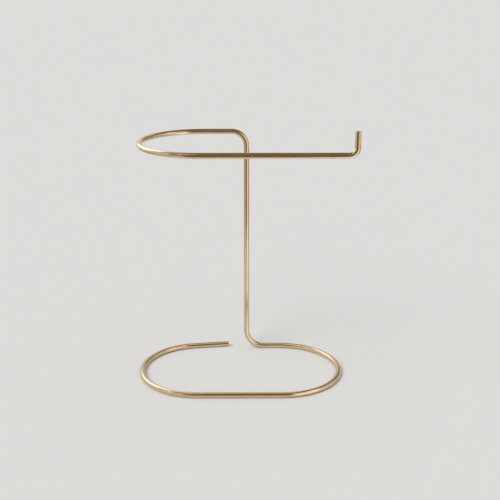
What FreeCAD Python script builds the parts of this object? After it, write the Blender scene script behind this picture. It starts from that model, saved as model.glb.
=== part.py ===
# Jewelry stand bent from round rod: an open base loop, an upright post and a top rail whose
# hanging bar ends in an upturned tip. The three rods butt end to end on hidden threaded studs.
# Millimetres, +Z up, front towards -Y, origin under the middle of the stand's box.
import FreeCAD, Part
import math
import os
import Sketcher

# Driving sizes: name, value, what it is
driving_sizes = [
    ("rod_diameter", 6.0, "round rod that all three pieces are bent from"),
    ("front_run_length", 90.0, "front run of the base, between its two half-round ends"),
    ("base_end_radius", 63.0, "centreline radius of the base's half-round ends"),
    ("free_leg_length", 40.0, "straight rear leg that ends free"),
    ("free_leg_toe_out", 8.0, "degrees by which the free leg runs back from the front run"),
    ("post_offset", 7.0, "post axis to the right of the base's middle"),
    ("base_bend_radius", 19.0, "centreline radius of the bend from the base up to the post"),
    ("lower_stub", 14.0, "straight rod between the base bend and the lower seam"),
    ("rail_height", 256.0, "centreline of the hanging bar above the table"),
    ("top_bend_radius", 16.0, "centreline radius of the bend from the post to the top rail"),
    ("upper_stub", 14.0, "straight rod between the upper seam and the top bend"),
    ("rear_run", 30.0, "straight rear run of the top rail"),
    ("rail_end_radius", 63.0, "centreline radius of the top rail's half-round end"),
    ("bar_straight", 144.5, "straight hanging bar, from the half-round end to the tip bend"),
    ("tip_bend_radius", 7.5, "centreline radius of the bend at the end of the bar"),
    ("tip_straight", 16.0, "straight upturned tip above its bend"),
    ("end_chamfer", 0.6, "chamfer on the two free ends"),
    ("seam_chamfer", 0.15, "broken edge on both sides of each seam"),
    ("stud_diameter", 3.0, "thread size of the joint studs"),
    ("stud_length", 16.0, "length of the joint studs, half in each rod"),
    ("stud_chamfer", 0.4, "chamfer on the stud's ends"),
    ("stud_socket", 1.5, "hexagon socket of the stud, across flats"),
    ("stud_socket_depth", 1.5, "depth of that socket"),
    ("stud_clearance", 0.05, "gap all round between stud and hole"),
    ("hole_end_room", 0.6, "hole depth left beyond the stud's end"),
    ("drill_point", 118.0, "degrees of the drill point at the hole's bottom"),
]

# Sizes worked out from the driving ones
derived_sizes = [
    ("rod_radius", "=rod_diameter / 2"),
    ("base_half", "=front_run_length / 2"),
    ("bend_start", "=post_offset + base_bend_radius"),
    ("riser_top", "=rod_radius + base_bend_radius"),
    ("lower_seam", "=riser_top + lower_stub"),
    ("drop_top", "=rail_height - top_bend_radius"),
    ("upper_seam", "=drop_top - upper_stub"),
    ("post_length", "=upper_seam - lower_seam"),
    ("rear_run_start", "=post_offset - top_bend_radius"),
    ("rail_end_centre", "=rear_run_start - rear_run"),
    ("bar_end", "=rail_end_centre + bar_straight"),
    ("bar_line", "=base_end_radius - 2 * rail_end_radius"),
    ("tip_axis", "=bar_end + tip_bend_radius"),
    ("tip_bend_top", "=rail_height + tip_bend_radius"),
    ("hole_diameter", "=stud_diameter + 2 * stud_clearance"),
    ("hole_depth", "=stud_length / 2 + hole_end_room"),
    ("free_end_y", "=base_end_radius * cos(free_leg_toe_out * 1 deg)"
                   " + free_leg_length * sin(free_leg_toe_out * 1 deg)"),
    ("free_end_back", "=free_end_y + rod_radius * cos(free_leg_toe_out * 1 deg)"
                      " - end_chamfer * sin(free_leg_toe_out * 1 deg)"),
    ("base_reach", "=base_half + base_end_radius + rod_radius"),
    ("left_reach", "=max(base_reach; rail_end_radius + rod_radius - rail_end_centre)"),
    ("right_reach", "=max(base_reach; tip_axis + rod_radius)"),
    ("front_reach", "=max(base_end_radius + rod_radius; rod_radius - bar_line)"),
    ("back_reach", "=max(base_end_radius + rod_radius; free_end_back)"),
    ("middle_x", "=(right_reach - left_reach) / 2"),
    ("middle_y", "=(back_reach - front_reach) / 2"),
]

# A right-angle bend, in radians
quarter = math.pi / 2


def fill_sheet(doc):
    sheet = doc.addObject("Spreadsheet::Sheet", "Sizes")
    row = 1
    for name, value, note in driving_sizes:
        sheet.set("A%d" % row, note)
        sheet.set("B%d" % row, str(value))
        sheet.setAlias("B%d" % row, name)
        row += 1
    for name, formula in derived_sizes:
        sheet.set("A%d" % row, "worked out")
        sheet.set("B%d" % row, formula)
        sheet.setAlias("B%d" % row, name)
        row += 1
    doc.recompute()
    return sheet


def read_sizes(sheet):
    names = [entry[0] for entry in driving_sizes + derived_sizes]
    return {name: float(sheet.get(name)) for name in names}


def bind(target, path, formula):
    target.setExpression(path, formula)


def new_body(doc, label):
    body = doc.addObject("PartDesign::Body", label)
    body.Label = label
    bind(body, "Placement.Base.x", "-Sizes.middle_x")
    bind(body, "Placement.Base.y", "-Sizes.middle_y")
    return body


def new_sketch(body, name, role, offset):
    # A sketch on one of the body's own origin planes, moved along that plane's normal
    plane = [part for part in body.Origin.OriginFeatures if part.Role == role][0]
    sketch = body.newObject("Sketcher::SketchObject", name)
    sketch.AttachmentSupport = [(plane, "")]
    sketch.MapMode = "FlatFace"
    bind(sketch, "AttachmentOffset.Base.z", offset)
    return sketch


def dimension(sketch, name, formula, value, kind, *places):
    index = sketch.addConstraint(Sketcher.Constraint(kind, *places, value))
    sketch.renameConstraint(index, name)
    bind(sketch, "Constraints." + name, formula)


def line(start, end):
    return Part.LineSegment(FreeCAD.Vector(*start, 0), FreeCAD.Vector(*end, 0))


def arc(centre, radius, first, last):
    circle = Part.Circle(FreeCAD.Vector(*centre, 0), FreeCAD.Vector(0, 0, 1), radius)
    return Part.ArcOfCircle(circle, first, last)


def add_chain(sketch, pieces):
    # Each piece is its curve, the end it is entered by and the end it is left by
    for piece in pieces:
        sketch.addGeometry(piece[0], False)
    for index in range(len(pieces) - 1):
        leave = pieces[index][2]
        entry = pieces[index + 1][1]
        sketch.addConstraint(Sketcher.Constraint("Tangent", index, leave, index + 1, entry))


def rod_section(body, name, offset, across, up, size):
    # The rod's round section, square to the X axis
    sketch = new_sketch(body, name, "YZ_Plane", "Sizes." + offset)
    add_circle(sketch, across, up, "rod_diameter", size)
    return sketch


def add_circle(sketch, across, up, diameter, size):
    centre = FreeCAD.Vector(size[across], size[up], 0)
    sketch.addGeometry(Part.Circle(centre, FreeCAD.Vector(0, 0, 1), size[diameter] / 2), False)
    place(sketch, "across", across, 0, 3, "X", size)
    place(sketch, "up", up, 0, 3, "Y", size)
    dimension(sketch, "diameter", "Sizes." + diameter, size[diameter], "Diameter", 0)


def place(sketch, name, size_name, curve, point, axis, size):
    # Holds a point of the sketch at a signed distance from the sketch's origin
    kind = "Distance" + axis
    dimension(sketch, name, "Sizes." + size_name, size[size_name], kind, -1, 1, curve, point)


def sweep(body, name, section, path):
    pipe = body.newObject("PartDesign::AdditivePipe", name)
    pipe.Profile = section
    pipe.Spine = (path, ["Edge%d" % (index + 1) for index in range(path.GeometryCount)])
    return pipe


def end_edges(shape, points, radius):
    # Names of the full-circle edges of one radius around the given points
    slack = radius / 10
    names = []
    for index, edge in enumerate(shape.Edges):
        middle = edge.CenterOfGravity
        centred = any((middle - point).Length < slack for point in points)
        if centred and abs(edge.Length - 2 * math.pi * radius) < slack:
            names.append("Edge%d" % (index + 1))
    return names


def break_edges(body, base, name, points, radius, chamfer_size):
    chamfer = body.newObject("PartDesign::Chamfer", name)
    chamfer.Base = (base, end_edges(base.Shape, points, radius))
    bind(chamfer, "Size", "Sizes." + chamfer_size)
    return chamfer


def drill_for_stud(doc, body, name, seam, upwards, size):
    # A blind hole for half a stud, in the rod's end at a seam
    sketch = new_sketch(body, name + "Centre", "XY_Plane", "Sizes." + seam)
    add_circle(sketch, "post_offset", "base_end_radius", "hole_diameter", size)
    doc.recompute()
    before = body.Tip.Shape.Volume
    hole = body.newObject("PartDesign::Hole", name)
    hole.Profile = sketch
    hole.Reversed = upwards
    hole.DepthType = "Dimension"
    hole.DrillPoint = "Angled"
    bind(hole, "Diameter", "Sizes.hole_diameter")
    bind(hole, "Depth", "Sizes.hole_depth")
    bind(hole, "DrillPointAngle", "Sizes.drill_point")
    doc.recompute()
    cylinder = math.pi * size["hole_diameter"] ** 2 / 4 * size["hole_depth"]
    if before - hole.Shape.Volume < cylinder:
        raise RuntimeError(name + " cut less than its own cylinder")
    return hole


def make_base_loop(doc, size):
    body = new_body(doc, "base_loop")
    radius = size["base_end_radius"]
    half = size["base_half"]
    start = size["bend_start"]
    toe = math.radians(size["free_leg_toe_out"])
    leg = size["free_leg_length"]
    leg_start = (-half - radius * math.sin(toe), radius * math.cos(toe))
    leg_end = (leg_start[0] + leg * math.cos(toe), leg_start[1] + leg * math.sin(toe))

    # The loop, from the foot of the bend round the right end, the front and the left end
    path = new_sketch(body, "BasePath", "XY_Plane", "Sizes.rod_radius")
    add_chain(path, [
        (line((start, radius), (half, radius)), 1, 2),
        (arc((half, 0), radius, -quarter, quarter), 2, 1),
        (line((half, -radius), (-half, -radius)), 1, 2),
        (arc((-half, 0), radius, quarter + toe, 3 * quarter), 2, 1),
        (line(leg_start, leg_end), 1, 2),
    ])
    path.addConstraint(Sketcher.Constraint("Horizontal", 0))
    path.addConstraint(Sketcher.Constraint("Horizontal", 2))
    path.addConstraint(Sketcher.Constraint("PointOnObject", 1, 3, -1))
    path.addConstraint(Sketcher.Constraint("Equal", 1, 3))
    dimension(path, "end_radius", "Sizes.base_end_radius", radius, "Radius", 1)
    dimension(path, "straight", "Sizes.front_run_length", size["front_run_length"], "Distance", 2)
    place(path, "right_end", "base_half", 1, 3, "X", size)
    place(path, "bend_start", "bend_start", 0, 1, "X", size)
    dimension(path, "toe_out", "Sizes.free_leg_toe_out * 1 deg", toe, "Angle", -1, 1, 4, 1)
    dimension(path, "leg", "Sizes.free_leg_length", leg, "Distance", 4)

    # The riser: a bend up from the loop and a short straight stub
    riser = new_sketch(body, "RiserPath", "XZ_Plane", "-Sizes.base_end_radius")
    bend = size["base_bend_radius"]
    add_chain(riser, [
        (arc((start, size["riser_top"]), bend, 2 * quarter, 3 * quarter), 2, 1),
        (line((size["post_offset"], size["riser_top"]), (size["post_offset"], size["lower_seam"])), 1, 2),
    ])
    riser.addConstraint(Sketcher.Constraint("Vertical", 1))
    dimension(riser, "bend_radius", "Sizes.base_bend_radius", bend, "Radius", 0)
    dimension(riser, "stub", "Sizes.lower_stub", size["lower_stub"], "Distance", 1)
    place(riser, "foot_across", "bend_start", 0, 2, "X", size)
    place(riser, "foot_up", "rod_radius", 0, 2, "Y", size)
    place(riser, "post_axis", "post_offset", 1, 1, "X", size)

    section = rod_section(body, "BaseSection", "bend_start", "base_end_radius", "rod_radius", size)
    doc.recompute()
    sweep(body, "Loop", section, path)
    doc.recompute()
    sweep(body, "Riser", section, riser)
    doc.recompute()
    hole = drill_for_stud(doc, body, "LowerHole", "lower_seam", False, size)

    free_end = FreeCAD.Vector(leg_end[0], leg_end[1], size["rod_radius"])
    seam_end = FreeCAD.Vector(size["post_offset"], radius, size["lower_seam"])
    rod_radius = size["rod_radius"]
    leg_cut = break_edges(body, hole, "FreeEndChamfer", [free_end], rod_radius, "end_chamfer")
    doc.recompute()
    break_edges(body, leg_cut, "SeamChamfer", [seam_end], rod_radius, "seam_chamfer")
    return body


def make_post(doc, size):
    body = new_body(doc, "post")
    section = new_sketch(body, "PostSection", "XY_Plane", "Sizes.lower_seam")
    add_circle(section, "post_offset", "base_end_radius", "rod_diameter", size)
    rod = body.newObject("PartDesign::Pad", "Rod")
    rod.Profile = section
    bind(rod, "Length", "Sizes.post_length")
    doc.recompute()
    drill_for_stud(doc, body, "LowerHole", "lower_seam", True, size)
    hole = drill_for_stud(doc, body, "UpperHole", "upper_seam", False, size)
    seams = [
        FreeCAD.Vector(size["post_offset"], size["base_end_radius"], size[seam])
        for seam in ("lower_seam", "upper_seam")
    ]
    break_edges(body, hole, "SeamChamfers", seams, size["rod_radius"], "seam_chamfer")
    return body


def make_top_rail(doc, size):
    body = new_body(doc, "top_rail")
    height = size["rail_height"]
    back = size["base_end_radius"]
    radius = size["rail_end_radius"]
    bend = size["top_bend_radius"]
    start = size["rear_run_start"]
    centre = size["rail_end_centre"]
    bar_end = size["bar_end"]

    # The flat rail: rear run, half-round left end and hanging bar
    path = new_sketch(body, "RailPath", "XY_Plane", "Sizes.rail_height")
    add_chain(path, [
        (line((start, back), (centre, back)), 1, 2),
        (arc((centre, back - radius), radius, quarter, 3 * quarter), 1, 2),
        (line((centre, size["bar_line"]), (bar_end, size["bar_line"])), 1, 2),
    ])
    path.addConstraint(Sketcher.Constraint("Horizontal", 0))
    path.addConstraint(Sketcher.Constraint("Horizontal", 2))
    dimension(path, "end_radius", "Sizes.rail_end_radius", radius, "Radius", 1)
    dimension(path, "rear_run", "Sizes.rear_run", size["rear_run"], "Distance", 0)
    dimension(path, "bar_run", "Sizes.bar_straight", size["bar_straight"], "Distance", 2)
    place(path, "start_across", "rear_run_start", 0, 1, "X", size)
    place(path, "start_back", "base_end_radius", 0, 1, "Y", size)

    # The drop: a bend down from the rear run and a short straight stub
    drop = new_sketch(body, "DropPath", "XZ_Plane", "-Sizes.base_end_radius")
    add_chain(drop, [
        (arc((start, size["drop_top"]), bend, 0, quarter), 2, 1),
        (line((size["post_offset"], size["drop_top"]), (size["post_offset"], size["upper_seam"])), 1, 2),
    ])
    drop.addConstraint(Sketcher.Constraint("Vertical", 1))
    dimension(drop, "bend_radius", "Sizes.top_bend_radius", bend, "Radius", 0)
    dimension(drop, "stub", "Sizes.upper_stub", size["upper_stub"], "Distance", 1)
    place(drop, "head_across", "rear_run_start", 0, 2, "X", size)
    place(drop, "head_up", "rail_height", 0, 2, "Y", size)
    place(drop, "post_axis", "post_offset", 1, 1, "X", size)

    # The tip: a tight bend up at the end of the bar and a short straight end
    tip = new_sketch(body, "TipPath", "XZ_Plane", "-Sizes.bar_line")
    tip_bend = size["tip_bend_radius"]
    tip_top = size["tip_bend_top"] + size["tip_straight"]
    add_chain(tip, [
        (arc((bar_end, size["tip_bend_top"]), tip_bend, 3 * quarter, 4 * quarter), 1, 2),
        (line((size["tip_axis"], size["tip_bend_top"]), (size["tip_axis"], tip_top)), 1, 2),
    ])
    tip.addConstraint(Sketcher.Constraint("Vertical", 1))
    dimension(tip, "bend_radius", "Sizes.tip_bend_radius", tip_bend, "Radius", 0)
    dimension(tip, "straight", "Sizes.tip_straight", size["tip_straight"], "Distance", 1)
    place(tip, "bar_end", "bar_end", 0, 1, "X", size)
    place(tip, "bar_up", "rail_height", 0, 1, "Y", size)
    place(tip, "tip_axis", "tip_axis", 1, 1, "X", size)

    rear = rod_section(body, "RearSection", "rear_run_start", "base_end_radius", "rail_height", size)
    front = rod_section(body, "BarEndSection", "bar_end", "bar_line", "rail_height", size)
    doc.recompute()
    sweep(body, "Rail", rear, path)
    doc.recompute()
    sweep(body, "Drop", rear, drop)
    doc.recompute()
    sweep(body, "Tip", front, tip)
    doc.recompute()
    hole = drill_for_stud(doc, body, "UpperHole", "upper_seam", True, size)

    tip_end = FreeCAD.Vector(size["tip_axis"], size["bar_line"], tip_top)
    seam_end = FreeCAD.Vector(size["post_offset"], back, size["upper_seam"])
    rod_radius = size["rod_radius"]
    tip_cut = break_edges(body, hole, "TipChamfer", [tip_end], rod_radius, "end_chamfer")
    doc.recompute()
    break_edges(body, tip_cut, "SeamChamfer", [seam_end], rod_radius, "seam_chamfer")
    return body


def make_stud(doc, label, seam, size):
    # A headless stud centred on a seam, with a hexagon socket in its upper end
    body = new_body(doc, label)
    section = new_sketch(body, "StudSection", "XY_Plane", "Sizes.%s - Sizes.stud_length / 2" % seam)
    add_circle(section, "post_offset", "base_end_radius", "stud_diameter", size)
    shank = body.newObject("PartDesign::Pad", "Shank")
    shank.Profile = section
    bind(shank, "Length", "Sizes.stud_length")
    doc.recompute()
    half = size["stud_length"] / 2
    middle = FreeCAD.Vector(size["post_offset"], size["base_end_radius"], 0)
    ends = [middle + FreeCAD.Vector(0, 0, size[seam] + rise) for rise in (-half, half)]
    chamfer = break_edges(body, shank, "EndChamfers", ends, size["stud_diameter"] / 2, "stud_chamfer")
    doc.recompute()

    socket = new_sketch(body, "SocketSection", "XY_Plane", "Sizes.%s + Sizes.stud_length / 2" % seam)
    sides = 6
    corner = size["stud_socket"] / math.sqrt(3)
    turns = [2 * math.pi * k / sides for k in range(sides)]
    corners = [(middle.x + corner * math.cos(turn), middle.y + corner * math.sin(turn)) for turn in turns]
    for k in range(sides):
        socket.addGeometry(line(corners[k], corners[(k + 1) % sides]), False)
    guide = socket.addGeometry(Part.Circle(middle, FreeCAD.Vector(0, 0, 1), corner), True)
    for k in range(sides):
        socket.addConstraint(Sketcher.Constraint("Coincident", k, 2, (k + 1) % sides, 1))
        socket.addConstraint(Sketcher.Constraint("PointOnObject", k, 1, guide))
    for k in range(sides - 1):
        socket.addConstraint(Sketcher.Constraint("Equal", k, k + 1))
    socket.addConstraint(Sketcher.Constraint("Horizontal", 1))
    place(socket, "across", "post_offset", guide, 3, "X", size)
    place(socket, "up", "base_end_radius", guide, 3, "Y", size)
    dimension(socket, "corner_circle", "Sizes.stud_socket / sqrt(3)", corner, "Radius", guide)
    doc.recompute()
    before = chamfer.Shape.Volume
    pocket = body.newObject("PartDesign::Pocket", "Socket")
    pocket.Profile = socket
    bind(pocket, "Length", "Sizes.stud_socket_depth")
    doc.recompute()
    if before - pocket.Shape.Volume < size["stud_socket"] ** 2 * size["stud_socket_depth"] / 2:
        raise RuntimeError(label + " has no socket")
    return body


def check(doc, bodies):
    for part in doc.Objects:
        if "Invalid" in part.State or "Error" in part.State:
            raise RuntimeError("%s failed: %s" % (part.Name, part.State))
    for body in bodies:
        if body.Shape.isNull() or not body.Shape.isValid():
            raise RuntimeError(body.Label + " has no valid shape")
        if len(body.Shape.Solids) != 1:
            raise RuntimeError("%s has %d solids" % (body.Label, len(body.Shape.Solids)))


def main():
    doc = FreeCAD.newDocument("JewelryStand")
    size = read_sizes(fill_sheet(doc))
    bodies = [
        make_base_loop(doc, size),
        make_post(doc, size),
        make_top_rail(doc, size),
        make_stud(doc, "lower_joint_stud", "lower_seam", size),
        make_stud(doc, "upper_joint_stud", "upper_seam", size),
    ]
    doc.recompute()
    check(doc, bodies)
    os.makedirs("parts", exist_ok=True)
    for body in bodies:
        body.Shape.exportStep("parts/%s.step" % body.Label)
        box = body.Shape.optimalBoundingBox(False)
        print("%s: volume %.1f mm3, x %.2f to %.2f, y %.2f to %.2f, z %.2f to %.2f" % (
            body.Label, body.Shape.Volume, box.XMin, box.XMax, box.YMin, box.YMax, box.ZMin, box.ZMax))


main()
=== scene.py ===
# Looks for the bent-rod stand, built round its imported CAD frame, in metres
import math
import bpy
from mathutils import Matrix, Vector


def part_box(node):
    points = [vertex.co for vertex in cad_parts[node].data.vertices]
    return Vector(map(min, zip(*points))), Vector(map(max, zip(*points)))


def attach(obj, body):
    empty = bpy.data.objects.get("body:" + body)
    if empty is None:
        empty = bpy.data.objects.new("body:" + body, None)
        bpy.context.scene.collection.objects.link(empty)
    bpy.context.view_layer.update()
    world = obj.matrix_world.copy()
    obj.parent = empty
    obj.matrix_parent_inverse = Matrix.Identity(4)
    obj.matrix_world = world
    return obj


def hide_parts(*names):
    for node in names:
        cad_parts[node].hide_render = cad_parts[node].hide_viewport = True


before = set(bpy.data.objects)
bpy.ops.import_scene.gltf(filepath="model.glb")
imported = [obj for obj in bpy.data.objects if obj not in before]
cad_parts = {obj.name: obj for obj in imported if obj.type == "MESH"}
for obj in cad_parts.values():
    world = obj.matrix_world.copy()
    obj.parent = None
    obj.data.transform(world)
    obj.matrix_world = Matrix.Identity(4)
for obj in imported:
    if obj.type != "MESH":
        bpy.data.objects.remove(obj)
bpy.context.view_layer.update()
mm = 0.001
quarter = math.pi / 2
fullTurn = 4 * quarter
print("frame loaded:", ", ".join(sorted(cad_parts)))


# Node helpers, for geometry and shader trees alike
def feed(tree, node, inputs):
    for key, value in inputs.items():
        if isinstance(value, bpy.types.NodeSocket):
            tree.links.new(value, node.inputs[key])
        else:
            node.inputs[key].default_value = value
    return node


def put(tree, kind, inputs=None, **settings):
    node = tree.nodes.new(kind)
    for name, value in settings.items():
        setattr(node, name, value)
    return feed(tree, node, inputs or {})


def calc(tree, operation, *values):
    return put(tree, "ShaderNodeMath", dict(enumerate(values)), operation=operation).outputs[0]


def times(tree, first, second):
    return calc(tree, "MULTIPLY", first, second)


def combine(tree, x, y, z):
    return put(tree, "ShaderNodeCombineXYZ", {0: x, 1: y, 2: z}).outputs[0]


def separate(tree, place):
    return put(tree, "ShaderNodeSeparateXYZ", {0: place}).outputs


def ramp(tree, value, low, high, first=0.0, last=1.0):
    inputs = {"Value": value, "From Min": low, "From Max": high, "To Min": first, "To Max": last}
    return put(tree, "ShaderNodeMapRange", inputs).outputs[0]


def blend(tree, share, first, last):
    colours = {0: share, 6: first, 7: last}  # sockets 6 and 7 are the node's two colours
    return put(tree, "ShaderNodeMix", colours, data_type="RGBA").outputs[2]


def noise(tree, coord, scale, detail, roughness=0.5):
    inputs = {"Vector": coord, "Scale": scale, "Detail": detail, "Roughness": roughness}
    return put(tree, "ShaderNodeTexNoise", inputs).outputs[0]


def newTree(name, kind, takes, gives):
    tree = bpy.data.node_groups.new(name, kind)
    for label, sort in takes:
        tree.interface.new_socket(label, in_out="INPUT", socket_type="NodeSocket" + sort)
    for label, sort in gives:
        tree.interface.new_socket(label, in_out="OUTPUT", socket_type="NodeSocket" + sort)
    return tree, tree.nodes.new("NodeGroupInput").outputs, tree.nodes.new("NodeGroupOutput")


# Shared surface effects
drawnNoise = {"lineDetail": 3.0, "lineRoughness": 0.65, "lineLimits": (0.32, 0.68),
              "cloudDetail": 2.0, "cloudLimits": (0.3, 0.7)}
rubNoise = {"detail": 5.0, "roughness": 0.7, "fade": 0.12}


def buildDrawnLines(s):
    # fine lines left along drawn or turned metal, and slow clouds in its plating
    takes = [("Coord", "Vector"), ("Across", "Float"), ("Along", "Float"), ("Cloud Scale", "Float")]
    gives = [("Lines", "Float"), ("Clouds", "Float")]
    tree, given, out = newTree("drawnLines", "ShaderNodeTree", takes, gives)
    stretch = combine(tree, given["Across"], given["Across"], given["Along"])
    drawn = put(tree, "ShaderNodeVectorMath", {0: given["Coord"], 1: stretch}, operation="MULTIPLY")
    lines = noise(tree, drawn.outputs[0], 1.0, s["lineDetail"], s["lineRoughness"])
    clouds = noise(tree, given["Coord"], given["Cloud Scale"], s["cloudDetail"])
    feed(tree, out, {"Lines": ramp(tree, lines, *s["lineLimits"]),
                     "Clouds": ramp(tree, clouds, *s["cloudLimits"])})
    return tree


def buildRubMarks(s):
    # broken-up marks where a surface rests or is rubbed; Reach says where, Amount how much of it
    takes = [("Coord", "Vector"), ("Reach", "Float"), ("Grain", "Float"), ("Amount", "Float")]
    tree, given, out = newTree("rubMarks", "ShaderNodeTree", takes, [("Marks", "Float")])
    spots = noise(tree, given["Coord"], given["Grain"], s["detail"], s["roughness"])
    bare = calc(tree, "SUBTRACT", 1.0, given["Amount"])
    broken = ramp(tree, spots, bare, calc(tree, "ADD", bare, s["fade"]))
    feed(tree, out, {"Marks": times(tree, broken, given["Reach"])})
    return tree


drawnLines = buildDrawnLines(drawnNoise)
rubMarks = buildRubMarks(rubNoise)


def newMaterial(name):
    material = bpy.data.materials.new(name)
    material.use_nodes = True
    return material, material.node_tree, material.node_tree.nodes["Principled BSDF"]


def useDrawnLines(tree, coord, s):
    inputs = {"Coord": coord, "Across": s["lineAcross"], "Along": s["lineAlong"],
              "Cloud Scale": s["cloudScale"]}
    group = put(tree, "ShaderNodeGroup", inputs, node_tree=drawnLines)
    return group.outputs["Lines"], group.outputs["Clouds"]


def useRubMarks(tree, coord, reach, s):
    inputs = {"Coord": coord, "Reach": reach, "Grain": s["rubGrain"], "Amount": s["rubAmount"]}
    return put(tree, "ShaderNodeGroup", inputs, node_tree=rubMarks).outputs["Marks"]


# Satin champagne-gold plating under a thin clear lacquer, on the rods
satinGold = {
    "deepTone": (0.68, 0.50, 0.295, 1), "paleTone": (0.765, 0.597, 0.392, 1),
    "rubbedTone": (0.50, 0.39, 0.28, 1), "lineShare": 0.3, "cloudShare": 0.7,
    "roughness": 0.12, "lineRoughness": 0.06, "cloudRoughness": 0.04, "rubRoughness": 0.25,
    "lineAcross": 5200.0, "lineAlong": 70.0, "cloudScale": 55.0,
    "rubHeight": 0.9 * mm, "rubGrain": 700.0, "rubAmount": 0.5,
    "peelScale": 900.0, "peelDetail": 2.0, "bump": 0.1, "bumpDepth": 0.02 * mm,
    "lacquer": 0.85, "lacquerRoughness": 0.06, "grazingTint": (0.92, 0.78, 0.58, 1),
}


def makeSatinGold(s):
    material, tree, skin = newMaterial("satinGold")
    rod = put(tree, "ShaderNodeAttribute", attribute_name="rodCoord").outputs["Vector"]
    place = put(tree, "ShaderNodeTexCoord").outputs["Object"]
    lines, clouds = useDrawnLines(tree, rod, s)
    low = ramp(tree, separate(tree, place)["Z"], s["rubHeight"], 0.0)
    marks = useRubMarks(tree, place, low, s)
    tone = calc(tree, "ADD", times(tree, lines, s["lineShare"]), times(tree, clouds, s["cloudShare"]))
    colour = blend(tree, marks, blend(tree, tone, s["deepTone"], s["paleTone"]), s["rubbedTone"])
    rough = calc(tree, "MULTIPLY_ADD", lines, s["lineRoughness"], s["roughness"])
    rough = calc(tree, "MULTIPLY_ADD", clouds, s["cloudRoughness"], rough)
    rough = calc(tree, "MULTIPLY_ADD", marks, s["rubRoughness"], rough)
    peel = noise(tree, place, s["peelScale"], s["peelDetail"])
    bump = put(tree, "ShaderNodeBump", {"Strength": s["bump"], "Distance": s["bumpDepth"],
                                        "Height": calc(tree, "ADD", lines, peel)})
    feed(tree, skin, {"Base Color": colour, "Metallic": 1.0, "Roughness": rough,
                      "Normal": bump.outputs[0], "Specular Tint": s["grazingTint"],
                      "Coat Weight": s["lacquer"], "Coat Roughness": s["lacquerRoughness"]})
    return material


# Zinc-plated steel on the hidden studs
zincSteel = {
    "darkTone": (0.46, 0.47, 0.48, 1), "paleTone": (0.66, 0.67, 0.66, 1),
    "rubbedTone": (0.40, 0.37, 0.33, 1), "roughness": 0.3, "lineRoughness": 0.12,
    "lineAcross": 500.0, "lineAlong": 9000.0, "cloudScale": 300.0,
    "rubGrain": 900.0, "rubAmount": 0.4,
}


def makeZincSteel(s):
    material, tree, skin = newMaterial("zincSteel")
    place = put(tree, "ShaderNodeTexCoord").outputs["Object"]
    lines, clouds = useDrawnLines(tree, place, s)
    marks = useRubMarks(tree, place, 1.0, s)
    colour = blend(tree, marks, blend(tree, clouds, s["darkTone"], s["paleTone"]), s["rubbedTone"])
    rough = calc(tree, "MULTIPLY_ADD", lines, s["lineRoughness"], s["roughness"])
    feed(tree, skin, {"Base Color": colour, "Metallic": 1.0, "Roughness": rough})
    return material


goldPlate = makeSatinGold(satinGold)
zincPlate = makeZincSteel(zincSteel)
print("finishes made:", goldPlate.name, zincPlate.name)


# Geometry tree helpers
def extrude(tree, mesh, faces, length):
    inputs = {"Mesh": mesh, "Selection": faces, "Offset Scale": length, "Individual": True}
    made = put(tree, "GeometryNodeExtrudeMesh", inputs, mode="FACES")
    return made.outputs["Mesh"], made.outputs["Top"]


def sink(tree, mesh, faces, depth):
    return extrude(tree, mesh, faces, times(tree, depth, -1.0))


def narrow(tree, mesh, faces, share):
    inputs = {"Geometry": mesh, "Selection": faces, "Scale": share}
    return put(tree, "GeometryNodeScaleElements", inputs, domain="FACE").outputs[0]


def movePoints(tree, mesh, **inputs):
    return put(tree, "GeometryNodeSetPosition", {"Geometry": mesh, **inputs}).outputs[0]


def store(tree, geometry, name, value, sort="FLOAT"):
    inputs = {"Geometry": geometry, "Name": name, "Value": value}
    settings = {"data_type": sort, "domain": "POINT"}
    return put(tree, "GeometryNodeStoreNamedAttribute", inputs, **settings).outputs[0]


def stored(tree, name):
    return put(tree, "GeometryNodeInputNamedAttribute", {"Name": name}, data_type="FLOAT").outputs[0]


def endCaps(tree):
    # the flat ends are the only faces with more than four corners
    corners = put(tree, "GeometryNodeInputMeshFaceNeighbors").outputs["Vertex Count"]
    return calc(tree, "GREATER_THAN", corners, 4.5)


def roundEnd(tree, mesh, cap, radius, edge, steps=3):
    # rolls a flat end over its edge in a few small steps
    for step in range(steps):
        before, after = quarter * step / steps, quarter * (step + 1) / steps
        rise = times(tree, edge, math.sin(after) - math.sin(before))
        wide = calc(tree, "SUBTRACT", radius, times(tree, edge, 1 - math.cos(before)))
        slim = calc(tree, "SUBTRACT", radius, times(tree, edge, 1 - math.cos(after)))
        mesh, cap = extrude(tree, mesh, cap, rise)
        mesh = narrow(tree, mesh, cap, calc(tree, "DIVIDE", slim, wide))
    return mesh, cap


def drillEnd(tree, mesh, cap, wanted, face, given):
    # a blind hole with a drill point, in an end that is wanted drilled
    mesh, rim = extrude(tree, mesh, times(tree, cap, wanted), 0.0)
    mesh = narrow(tree, mesh, rim, calc(tree, "DIVIDE", given["Hole Radius"], face))
    mesh, floor = sink(tree, mesh, rim, given["Hole Depth"])
    mesh, point = sink(tree, mesh, floor, given["Hole Point"])
    return narrow(tree, mesh, point, given["Hole Tip"])


def shadeByAngle(tree, mesh, sharpest):
    smooth = {"Geometry": mesh, "Shade Smooth": True}
    mesh = put(tree, "GeometryNodeSetShadeSmooth", smooth, domain="FACE").outputs[0]
    angle = put(tree, "GeometryNodeInputMeshEdgeAngle").outputs[0]
    folded = calc(tree, "GREATER_THAN", angle, sharpest)
    sharp = {"Geometry": mesh, "Selection": folded, "Shade Smooth": False}
    return put(tree, "GeometryNodeSetShadeSmooth", sharp, domain="EDGE").outputs[0]


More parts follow.
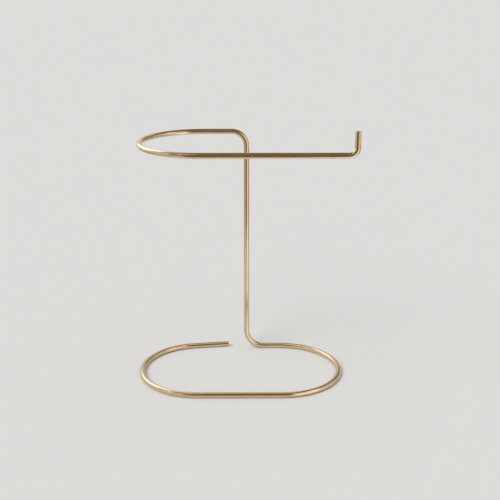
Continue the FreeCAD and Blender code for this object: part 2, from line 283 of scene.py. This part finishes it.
def closeTree(tree, out, mesh, given):
    mesh = shadeByAngle(tree, mesh, given["Sharpest"])
    plain = put(tree, "GeometryNodeRealizeInstances", {"Geometry": mesh}).outputs[0]
    coated = put(tree, "GeometryNodeSetMaterial", {"Geometry": plain, "Material": given["Finish"]})
    feed(tree, out, {0: coated.outputs[0]})


def grow(name, tree, values, points=(), edges=()):
    # runs a tree on a small seed mesh and keeps the result as a plain mesh at the origin
    seed = bpy.data.meshes.new(name + "Seed")
    seed.from_pydata(points, edges, [])
    piece = bpy.data.objects.new(name, seed)
    bpy.context.scene.collection.objects.link(piece)
    modifier = piece.modifiers.new("grow", "NODES")
    modifier.node_group = tree
    for item in tree.interface.items_tree:
        if item.in_out == "INPUT" and item.name in values:
            modifier[item.identifier] = values[item.name]
    bpy.context.view_layer.update()
    grown = bpy.data.meshes.new_from_object(piece.evaluated_get(bpy.context.evaluated_depsgraph_get()))
    grown.name = name
    piece.modifiers.clear()
    piece.data = grown
    bpy.data.meshes.remove(seed)
    print(name, "has", len(grown.polygons), "faces")
    return piece


def settle(piece, node):
    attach(piece, "root")
    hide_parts(node)


# The stock of all the rods; the names with capitals are inputs of the rod tree
rodStock = {"Rod Radius": 3.0 * mm, "Sides": 48, "Hole Radius": 1.55 * mm, "Hole Depth": 8.6 * mm,
            "Hole Point": 0.93 * mm, "Hole Tip": 0.03, "Sharpest": 0.7, "Finish": goldPlate,
            "freeEdge": 0.6 * mm, "seamEdge": 0.15 * mm,
            "runStep": 5.0 * mm, "bendStep": 1.6 * mm, "fewestRuns": 2, "fewestBends": 14}

# Each rod as a maker's list of straight runs and bends, in mm and degrees, from its seam on the post
postLow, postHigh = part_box("post")
postAxis = (postLow + postHigh) / 2
lowerSeam = Vector((postAxis.x, postAxis.y, postLow.z))
upperSeam = Vector((postAxis.x, postAxis.y, postHigh.z))
front, down, up = Vector((0, -1, 0)), Vector((0, 0, -1)), Vector((0, 0, 1))
baseLoop = {"start": lowerSeam, "heading": down, "farHole": False, "moves": [
    ("run", 14.0), ("bend", 19.0, 90.0, front),  # off the post and flat to the right
    ("run", 19.0), ("bend", 63.0, 180.0, down),  # round the right end
    ("run", 90.0), ("bend", 63.0, 172.0, down),  # along the front and round the left end
    ("run", 40.0)]}  # the free rear leg
topRail = {"start": upperSeam, "heading": up, "farHole": False, "moves": [
    ("run", 14.0), ("bend", 16.0, 90.0, front),  # over to the left
    ("run", 30.0), ("bend", 63.0, 180.0, up),  # round the left end
    ("run", 144.5), ("bend", 7.5, 90.0, front),  # the hanging bar and its tight bend
    ("run", 16.0)]}  # the upturned tip
post = {"start": lowerSeam, "heading": up, "farHole": True, "moves": [
    ("run", (postHigh.z - postLow.z) / mm)]}


def buildRodTree():
    # sweeps a round rod along a path, rounds its ends and drills the ones that take a stud
    takes = [("Path", "Geometry"), ("Rod Radius", "Float"), ("Sides", "Int"),
             ("Start Edge", "Float"), ("End Edge", "Float"),
             ("Drill Start", "Float"), ("Drill End", "Float"),
             ("Hole Radius", "Float"), ("Hole Depth", "Float"), ("Hole Point", "Float"),
             ("Hole Tip", "Float"), ("Sharpest", "Float"), ("Finish", "Material")]
    tree, given, out = newTree("bentRod", "GeometryNodeTree", takes, [("Rod", "Geometry")])
    radius = given["Rod Radius"]
    path = put(tree, "GeometryNodeMeshToCurve", {"Mesh": given["Path"]}).outputs[0]
    length = put(tree, "GeometryNodeCurveLength", {"Curve": path}).outputs[0]
    last = calc(tree, "SUBTRACT", length, given["End Edge"])
    cut = {0: path, 4: given["Start Edge"], 5: last}  # sockets 4 and 5 are lengths
    path = put(tree, "GeometryNodeTrimCurve", cut, mode="LENGTH").outputs[0]
    spline = put(tree, "GeometryNodeSplineParameter").outputs
    path = store(tree, path, "along", spline["Length"])
    path = store(tree, path, "share", spline["Factor"])
    circle = {"Resolution": given["Sides"], "Radius": radius}
    ring = put(tree, "GeometryNodeCurvePrimitiveCircle", circle, mode="RADIUS").outputs[0]
    ring = store(tree, ring, "around", times(tree, spline["Factor"], fullTurn))
    sweep = {"Curve": path, "Profile Curve": ring, "Scale": 1.0, "Fill Caps": True}
    mesh = put(tree, "GeometryNodeCurveToMesh", sweep).outputs[0]
    capped = endCaps(tree)
    for end, test in (("Start", "LESS_THAN"), ("End", "GREATER_THAN")):
        edge = given[end + " Edge"]
        cap = times(tree, capped, calc(tree, test, stored(tree, "share"), 0.5))
        mesh, cap = roundEnd(tree, mesh, cap, radius, edge)
        face = calc(tree, "SUBTRACT", radius, edge)
        mesh = drillEnd(tree, mesh, cap, given["Drill " + end], face, given)
    turn = stored(tree, "around")
    coord = combine(tree, times(tree, calc(tree, "COSINE", turn), radius),
                    times(tree, calc(tree, "SINE", turn), radius), stored(tree, "along"))
    mesh = store(tree, mesh, "rodCoord", coord, "FLOAT_VECTOR")
    for name in ("along", "share", "around"):
        mesh = put(tree, "GeometryNodeRemoveAttribute", {"Geometry": mesh, "Name": name}).outputs[0]
    closeTree(tree, out, mesh, given)
    return tree


def bendPath(start, heading, moves):
    points, here = [start], start
    for kind, size, *rest in moves:
        size = size * mm
        if kind == "run":
            count = max(rodStock["fewestRuns"], round(size / rodStock["runStep"]))
            points += [here + heading * size * k / count for k in range(1, count + 1)]
        else:
            angle, axis = math.radians(rest[0]), rest[1]
            centre = here + axis.cross(heading) * size
            count = max(rodStock["fewestBends"], round(size * angle / rodStock["bendStep"]))
            turns = [Matrix.Rotation(angle * k / count, 3, axis) for k in range(1, count + 1)]
            points += [centre + turn @ (here - centre) for turn in turns]
            heading = turns[-1] @ heading
        here = points[-1]
    return points


def makeRod(name, node, s):
    points = bendPath(s["start"], s["heading"], s["moves"])
    farEdge = rodStock["seamEdge"] if s["farHole"] else rodStock["freeEdge"]
    values = {**rodStock, "Start Edge": rodStock["seamEdge"], "End Edge": farEdge,
              "Drill Start": 1.0, "Drill End": float(s["farHole"])}
    piece = grow(name, rodTree, values, points, [(k, k + 1) for k in range(len(points) - 1)])
    settle(piece, node)


rodTree = buildRodTree()
makeRod("baseLoopRod", "base_loop", baseLoop)
makeRod("postRod", "post", post)
makeRod("topRailRod", "top_rail", topRail)

# The two hidden studs; over half a pitch, the thread's crest ends at Crest and its root starts at Root
studStock = {"Radius": 1.5 * mm, "Length": 16.0 * mm, "Pitch": 0.5 * mm, "Thread Depth": 0.28 * mm,
             "Crest": 0.12, "Root": 0.88, "Sides": 24, "Rows": 256, "End Chamfer": 0.4 * mm,
             "Socket Across": 1.5 * mm, "Socket Depth": 1.5 * mm, "Sharpest": 0.45, "Finish": zincPlate}


def buildStudTree():
    # a headless stud: rolled thread, broken ends and a hexagon socket in the top
    takes = [("Seed Mesh", "Geometry"), ("Radius", "Float"), ("Length", "Float"),
             ("Pitch", "Float"), ("Thread Depth", "Float"), ("Crest", "Float"), ("Root", "Float"),
             ("Sides", "Int"), ("Rows", "Int"), ("End Chamfer", "Float"),
             ("Socket Across", "Float"), ("Socket Depth", "Float"), ("Centre", "Vector"),
             ("Sharpest", "Float"), ("Finish", "Material")]
    tree, given, out = newTree("threadedStud", "GeometryNodeTree", takes, [("Stud", "Geometry")])
    radius = given["Radius"]
    cylinder = {"Vertices": given["Sides"], "Side Segments": given["Rows"],
                "Radius": radius, "Depth": given["Length"]}
    blank = put(tree, "GeometryNodeMeshCylinder", cylinder, fill_type="NGON").outputs["Mesh"]
    joined = put(tree, "GeometryNodeJoinGeometry", {0: blank})
    tree.links.new(given["Seed Mesh"], joined.inputs[0])
    spot = separate(tree, put(tree, "GeometryNodeInputPosition").outputs[0])
    turn = calc(tree, "ARCTAN2", spot["Y"], spot["X"])
    climb = calc(tree, "DIVIDE", spot["Z"], given["Pitch"])
    winding = calc(tree, "SUBTRACT", climb, calc(tree, "DIVIDE", turn, fullTurn))
    wave = calc(tree, "MULTIPLY_ADD", calc(tree, "FRACT", winding), 2.0, -1.0)
    flank = ramp(tree, calc(tree, "ABSOLUTE", wave), given["Crest"], given["Root"])
    thread = calc(tree, "SUBTRACT", radius, times(tree, flank, given["Thread Depth"]))
    height = calc(tree, "ABSOLUTE", spot["Z"])
    inside = calc(tree, "SUBTRACT", times(tree, given["Length"], 0.5), height)
    cone = calc(tree, "ADD", calc(tree, "SUBTRACT", radius, given["End Chamfer"]), inside)
    reach = calc(tree, "DIVIDE", calc(tree, "MINIMUM", thread, cone), radius)
    cutTo = combine(tree, times(tree, spot["X"], reach), times(tree, spot["Y"], reach), spot["Z"])
    mesh = movePoints(tree, joined.outputs[0], Position=cutTo)
    top = times(tree, endCaps(tree), calc(tree, "GREATER_THAN", spot["Z"], 0.0))
    mesh, mouth = extrude(tree, mesh, top, 0.0)
    sixth = calc(tree, "PINGPONG", turn, quarter / 3)
    flat = calc(tree, "DIVIDE", times(tree, given["Socket Across"], 0.5), calc(tree, "COSINE", sixth))
    hexagon = combine(tree, times(tree, calc(tree, "COSINE", turn), flat),
                      times(tree, calc(tree, "SINE", turn), flat), spot["Z"])
    mesh = movePoints(tree, mesh, Selection=mouth, Position=hexagon)
    mesh = sink(tree, mesh, mouth, given["Socket Depth"])[0]
    closeTree(tree, out, movePoints(tree, mesh, Offset=given["Centre"]), given)
    return tree


studTree = buildStudTree()
studs = {"lowerStud": ("lower_joint_stud", lowerSeam), "upperStud": ("upper_joint_stud", upperSeam)}
for name, (node, seam) in studs.items():
    settle(grow(name, studTree, {**studStock, "Centre": seam}), node)
print("rods and studs made")

# Floor, light and camera
stageLook = {"floorTone": (0.84, 0.84, 0.835, 1), "floorRoughness": 0.9, "floorWidth": 60.0,
             "backTone": (0.724, 0.722, 0.712, 1), "worldLight": 0.70,
             "sunLight": 1.5, "sunTone": (1.0, 0.985, 0.96), "sunSpread": 35.0,
             "sunFrom": (-0.5, -0.45, 0.74)}
cameraLook = {"place": (3.85, -908.48, 436.85), "target": (8.11, -2.42, 141.03),
              "lens": 64.8, "sensor": 36.0}
# painted reflections: glowing planes standing in for a studio's light boxes, papers, cloths and dark
# flags, which only the metal mirrors; no camera sees them, they light nothing and cast no shadow
studioCards = {
    "ceilingFlag": {"middle": (0.0, -0.30, 1.10), "faces": (0.0, -0.30, 0.0),
                    "size": (3.0, 2.6), "softEdge": 0.3, "tone": (0.205, 0.163, 0.110)},
    "frontFlag": {"middle": (0.0, -0.45, 0.65), "faces": (0.0, 0.0, 0.65),
                  "size": (1.4, 1.0), "softEdge": 0.1, "tone": (0.205, 0.163, 0.110)},
    "lensFlag": {"middle": (-0.035, -0.36, 0.13), "faces": (-0.035, 0.06, 0.13),
                 "size": (0.40, 0.28), "softEdge": 0.03, "tone": (0.15, 0.105, 0.05)},
    "rightBox": {"middle": (0.28, -0.295, 0.0975), "faces": (0.0045, 0.06, 0.0975),
                 "size": (0.27, 0.195), "softEdge": 0.02, "tone": (1.25, 1.23, 1.16)},
    "rightUpperBox": {"middle": (0.285, -0.30, 0.4125), "faces": (0.0045, 0.06, 0.4125),
                      "size": (0.25, 0.475), "softEdge": 0.015, "tone": (0.78, 0.75, 0.68)},
    "lowCard": {"middle": (0.175, -0.155, 0.042), "faces": (0.06, -0.045, 0.042),
                "size": (0.16, 0.084), "softEdge": 0.012, "tone": (1.44, 1.46, 1.57)},
    "sideBox": {"middle": (0.42, -0.13, 0.44), "faces": (0.0045, 0.06, 0.44),
                "size": (0.26, 0.52), "softEdge": 0.08, "tone": (1.3, 1.31, 1.33)},
    # the papers and cloths lie on the floor but glow and show only in the metal: painted brighter and
    # darker floor reflections
    "nearPaper": {"middle": (0.051, 0.0015, 0.0005), "faces": (0.051, 0.0015, 1.0), "roll": 38,
                  "size": (0.05, 0.10), "softEdge": 0.008, "tone": (1.28, 1.35, 1.60)},
    "farPaper": {"middle": (0.202, -0.192, 0.0005), "faces": (0.202, -0.192, 1.0), "roll": 38,
                 "size": (0.14, 0.33), "softEdge": 0.03, "tone": (1.38, 1.44, 1.66)},
    "leftBox": {"middle": (-0.622, 0.477, 0.657), "faces": (0.0, 0.0, 0.0),
                "size": (1.1, 1.05), "softEdge": 0.25, "tone": (1.74, 1.90, 2.38)},
    "rightBackFlag": {"middle": (0.58, 0.69, 0.42), "faces": (0.0, 0.0, 0.0),
                      "size": (1.06, 0.93), "softEdge": 0.2, "tone": (0.3, 0.29, 0.27)},
    "leftCloth": {"middle": (-0.82, -0.1, 0.0006), "faces": (-0.82, -0.1, 1.0),
                  "size": (1.1, 2.0), "softEdge": 0.2, "tone": (0.55, 0.495, 0.44)},
    "rightCloth": {"middle": (0.88, 0.1, 0.0004), "faces": (0.88, 0.1, 1.0),
                   "size": (1.1, 2.0), "softEdge": 0.2, "tone": (0.50, 0.45, 0.40)},
    "lowCanopy": {"middle": (-0.01, 0.01, 0.24), "faces": (-0.01, 0.01, 0.0),
                  "size": (0.26, 0.18), "softEdge": 0.04, "tone": (0.80, 0.79, 0.77)},
}


def onStage(name, width, height):
    across, along = width / 2, height / 2
    corners = [(-across, -along, 0), (across, -along, 0), (across, along, 0), (-across, along, 0)]
    mesh = bpy.data.meshes.new(name)
    mesh.from_pydata(corners, [], [(0, 1, 2, 3)])
    piece = bpy.data.objects.new(name, mesh)
    bpy.context.scene.collection.objects.link(piece)
    return piece


def showFront(tree, shader, share=1.0):
    # hides the back of a stage plane, and as much of its front as share leaves out
    behind = put(tree, "ShaderNodeNewGeometry").outputs["Backfacing"]
    shown = times(tree, calc(tree, "SUBTRACT", 1.0, behind), share)
    clear = put(tree, "ShaderNodeBsdfTransparent").outputs[0]
    mix = put(tree, "ShaderNodeMixShader", {0: shown, 1: clear, 2: shader})
    feed(tree, tree.nodes["Material Output"], {"Surface": mix.outputs[0]})


def makeFloor(s):
    floor = onStage("floor", s["floorWidth"], s["floorWidth"])
    material, tree, skin = newMaterial("floorPaper")
    feed(tree, skin, {"Base Color": s["floorTone"], "Roughness": s["floorRoughness"],
                      "Specular IOR Level": 0.0})
    showFront(tree, skin.outputs[0])
    floor.data.materials.append(material)


def makeCard(name, s):
    card = onStage(name, *s["size"])
    aim = (Vector(s["faces"]) - Vector(s["middle"])).to_track_quat("Z", "Y").to_matrix()
    turned = aim @ Matrix.Rotation(math.radians(s.get("roll", 0)), 3, "Z")
    card.matrix_world = Matrix.Translation(s["middle"]) @ turned.to_4x4()
    material, tree, skin = newMaterial(name + "Tone")
    spot = separate(tree, put(tree, "ShaderNodeTexCoord").outputs["Object"])
    fades = [ramp(tree, calc(tree, "ABSOLUTE", spot[axis]), size / 2, size / 2 - s["softEdge"])
             for axis, size in zip("XY", s["size"])]
    glow = put(tree, "ShaderNodeEmission", {"Color": (*s["tone"], 1)}).outputs[0]
    showFront(tree, glow, times(tree, *fades))
    tree.nodes.remove(skin)
    card.data.materials.append(material)
    # the card shows only in the metal's reflections: a painted reflection, not a lamp that lights
    # anything
    card.visible_camera = card.visible_diffuse = False
    card.visible_shadow = card.visible_transmission = False


def makeWorld(s):
    world = bpy.data.worlds.new("studio")
    world.use_nodes = True
    bpy.context.scene.world = world
    tree = world.node_tree
    rays = put(tree, "ShaderNodeLightPath").outputs
    seen = calc(tree, "MAXIMUM", rays["Is Camera Ray"], rays["Is Transmission Ray"])
    seen = calc(tree, "MAXIMUM", seen, rays["Is Glossy Ray"])
    strength = ramp(tree, seen, 0.0, 1.0, s["worldLight"], 1.0)
    feed(tree, tree.nodes["Background"], {"Color": s["backTone"], "Strength": strength})


def makeSun(s):
    data = bpy.data.lights.new("keySun", "SUN")
    data.energy, data.angle, data.color = s["sunLight"], math.radians(s["sunSpread"]), s["sunTone"]
    sun = bpy.data.objects.new("keySun", data)
    bpy.context.scene.collection.objects.link(sun)
    sun.rotation_euler = Vector(s["sunFrom"]).to_track_quat("Z", "Y").to_euler()


def makeCamera(s):
    data = bpy.data.cameras.new("camera")
    data.lens, data.sensor_width = s["lens"], s["sensor"]
    camera = bpy.data.objects.new("camera", data)
    bpy.context.scene.collection.objects.link(camera)
    camera.location = Vector(s["place"]) * mm
    aim = (Vector(s["target"]) - Vector(s["place"])).to_track_quat("-Z", "Y")
    camera.rotation_euler = aim.to_euler()
    bpy.context.scene.camera = camera


makeFloor(stageLook)
makeWorld(stageLook)
makeSun(stageLook)
for name, card in studioCards.items():
    makeCard(name, card)
makeCamera(cameraLook)
bpy.context.scene.view_settings.view_transform = "Standard"
print("stage set")
